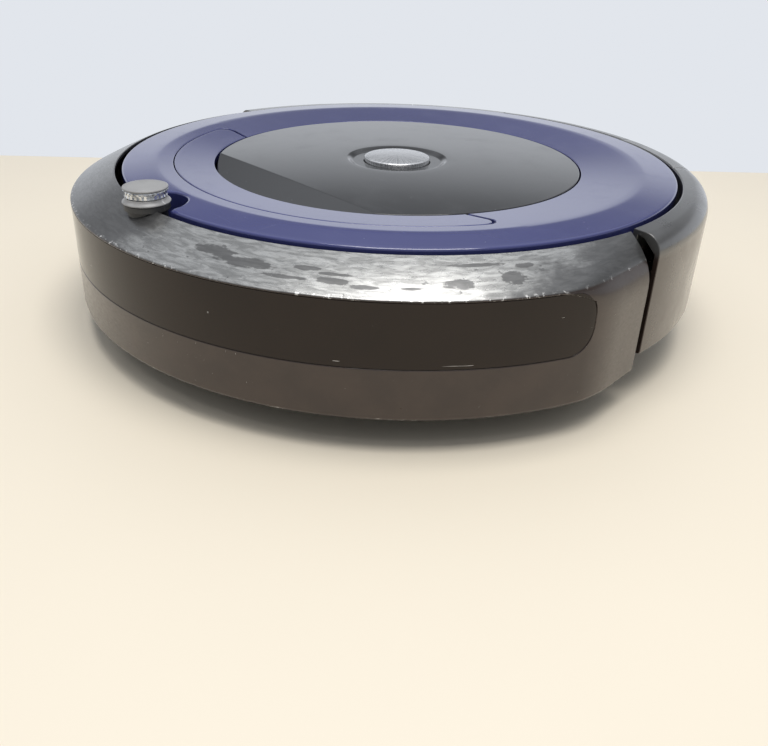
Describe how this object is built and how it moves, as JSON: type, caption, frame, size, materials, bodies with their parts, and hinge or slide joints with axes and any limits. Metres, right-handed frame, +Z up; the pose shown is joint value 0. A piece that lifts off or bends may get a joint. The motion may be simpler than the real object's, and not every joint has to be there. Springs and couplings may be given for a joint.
{
  "type": "robot vacuum",
  "caption": "Round floor-cleaning robot with sprung front bumper, lift-up carry handle, start button, slide-out dust bin, roller brushes, drive wheels and caster.",
  "frame": {"origin": "on the floor under the middle of the outline's box, robot standing on its drive wheels and caster", "axes": "+Z up, front bumper and sensor knob face -Y, +X is the robot's left side"},
  "size_m": [0.353, 0.353, 0.092],
  "materials": {
    "navy_gloss": "gloss navy moulding, clear coated",
    "black_gloss": "piano black gloss",
    "black_satin": "fine satin black moulding",
    "warm_grey": "satin dark warm grey moulding",
    "gunmetal": "metallic paint, scuffed",
    "window_brown": "dark infrared-clear gloss",
    "bright_metal": "bright radial brushed",
    "steel": "plain",
    "prism": "clear faceted",
    "cap_grey": "matte grey",
    "rubber": "moulded",
    "roller_green": "moulded elastomer",
    "board_green": "solder mask",
    "battery_blue": "shrink wrapped pack",
    "filter_white": "pleated paper",
    "bin_smoke": "smoked plastic"
  },
  "bodies": {
    "robot": {"chassis_tray": "black_satin", "upper_shell": "warm_grey", "top_ring": "navy_gloss", "center_disc": "black_gloss", "ui_board": "board_green", "handle_pin_left": "steel", "handle_pin_right": "steel", "main_board": "board_green", "battery": "battery_blue", "battery_cover": "black_satin", "cover_screw_left": "steel", "cover_screw_right": "steel", "bumper_spring_left": "steel", "bumper_spring_right": "steel", "bump_switch_left": "black_satin", "bump_switch_right": "black_satin", "brush_housing": "black_satin", "brush_gearbox": "warm_grey", "brush_motor": "steel", "side_brush_motor": "steel", "left_pivot_pin": "steel", "right_pivot_pin": "steel", "left_suspension_spring": "steel", "right_suspension_spring": "steel", "caster_housing": "black_satin", "contact_left": "bright_metal", "contact_right": "bright_metal", "cliff_window_front_left": "window_brown", "cliff_window_front_right": "window_brown", "cliff_window_side_left": "window_brown", "cliff_window_side_right": "window_brown"},
    "bumper": {"bumper": "gunmetal", "bumper_window": "window_brown", "sensor_base": "black_satin", "sensor_prism": "prism", "sensor_cap": "cap_grey"},
    "button": {"clean_button": "bright_metal"},
    "handle": {"handle": "navy_gloss"},
    "bin": {"bin_body": "bin_smoke", "bin_door": "bin_smoke", "bin_filter": "filter_white", "bin_fan": "black_satin"},
    "bin_button": {"bin_release": "warm_grey"},
    "roller_flap": {"roller_frame": "warm_grey"},
    "front_brush": {"front_roller": "roller_green"},
    "rear_brush": {"rear_roller": "roller_green"},
    "side_brush": {"side_brush": "black_satin"},
    "left_arm": {"left_wheel_arm": "black_satin", "left_wheel_motor": "steel"},
    "left_wheel": {"left_wheel_axle": "steel", "left_wheel_hub": "warm_grey", "left_tyre": "rubber"},
    "right_arm": {"right_wheel_arm": "black_satin", "right_wheel_motor": "steel"},
    "right_wheel": {"right_wheel_axle": "steel", "right_wheel_hub": "warm_grey", "right_tyre": "rubber"},
    "caster": {"caster_fork": "warm_grey", "caster_axle": "steel"},
    "caster_roller": {"caster_wheel": "rubber"}
  },
  "joints": [
    {"name": "bumper_press", "type": "slide", "parent": "robot", "child": "bumper", "axis": [0, 1, 0], "range_m": [0, 0.003], "stiffness_N_per_m": 600, "springref_m": -0.003},
    {"name": "button_press", "type": "slide", "parent": "robot", "child": "button", "axis": [0, 0, -1], "range_m": [0, 0.0015], "stiffness_N_per_m": 800, "springref_m": -0.001},
    {"name": "handle_lift", "type": "hinge", "parent": "robot", "child": "handle", "pos_m": [0, -0.037, 0.0792], "axis": [-1, 0, 0], "range_deg": [0, 70]},
    {"name": "bin_slide", "type": "slide", "parent": "robot", "child": "bin", "axis": [0, 1, 0], "range_m": [0, 0.11]},
    {"name": "bin_release_press", "type": "slide", "parent": "bin", "child": "bin_button", "axis": [0, 0, -1], "range_m": [0, 0.002], "stiffness_N_per_m": 600, "springref_m": -0.001},
    {"name": "roller_flap_hinge", "type": "hinge", "parent": "robot", "child": "roller_flap", "pos_m": [0, 0.002, 0.0102], "axis": [-1, 0, 0], "range_deg": [0, 90]},
    {"name": "front_roller_spin", "type": "hinge", "parent": "robot", "child": "front_brush", "pos_m": [0, 0.024, 0.0192], "axis": [1, 0, 0], "continuous": true},
    {"name": "rear_roller_spin", "type": "hinge", "parent": "robot", "child": "rear_brush", "pos_m": [0, 0.06, 0.0192], "axis": [1, 0, 0], "continuous": true},
    {"name": "side_brush_spin", "type": "hinge", "parent": "robot", "child": "side_brush", "pos_m": [-0.098, -0.088, 0.01], "axis": [0, 0, 1], "continuous": true},
    {"name": "left_suspension", "type": "hinge", "parent": "robot", "child": "left_arm", "pos_m": [0.098, -0.046, 0.05], "axis": [-1, 0, 0], "range_deg": [0, 22], "stiffness_Nm_per_rad": 0.3, "springref_deg": 40.11},
    {"name": "left_wheel_spin", "type": "hinge", "parent": "left_arm", "child": "left_wheel", "pos_m": [0.117, 0.006, 0.036], "axis": [1, 0, 0], "continuous": true},
    {"name": "right_suspension", "type": "hinge", "parent": "robot", "child": "right_arm", "pos_m": [-0.098, -0.046, 0.05], "axis": [-1, 0, 0], "range_deg": [0, 22], "stiffness_Nm_per_rad": 0.3, "springref_deg": 40.11},
    {"name": "right_wheel_spin", "type": "hinge", "parent": "right_arm", "child": "right_wheel", "pos_m": [-0.117, 0.006, 0.036], "axis": [1, 0, 0], "continuous": true},
    {"name": "caster_swivel", "type": "hinge", "parent": "robot", "child": "caster", "pos_m": [0, -0.118, 0.02], "axis": [0, 0, 1], "continuous": true},
    {"name": "caster_roll", "type": "hinge", "parent": "caster", "child": "caster_roller", "pos_m": [0, -0.1125, 0.0135], "axis": [1, 0, 0], "continuous": true}
  ],
  "couplings": [
    {"joint": "rear_roller_spin", "follows": "front_roller_spin", "ratio": -1}
  ]
}
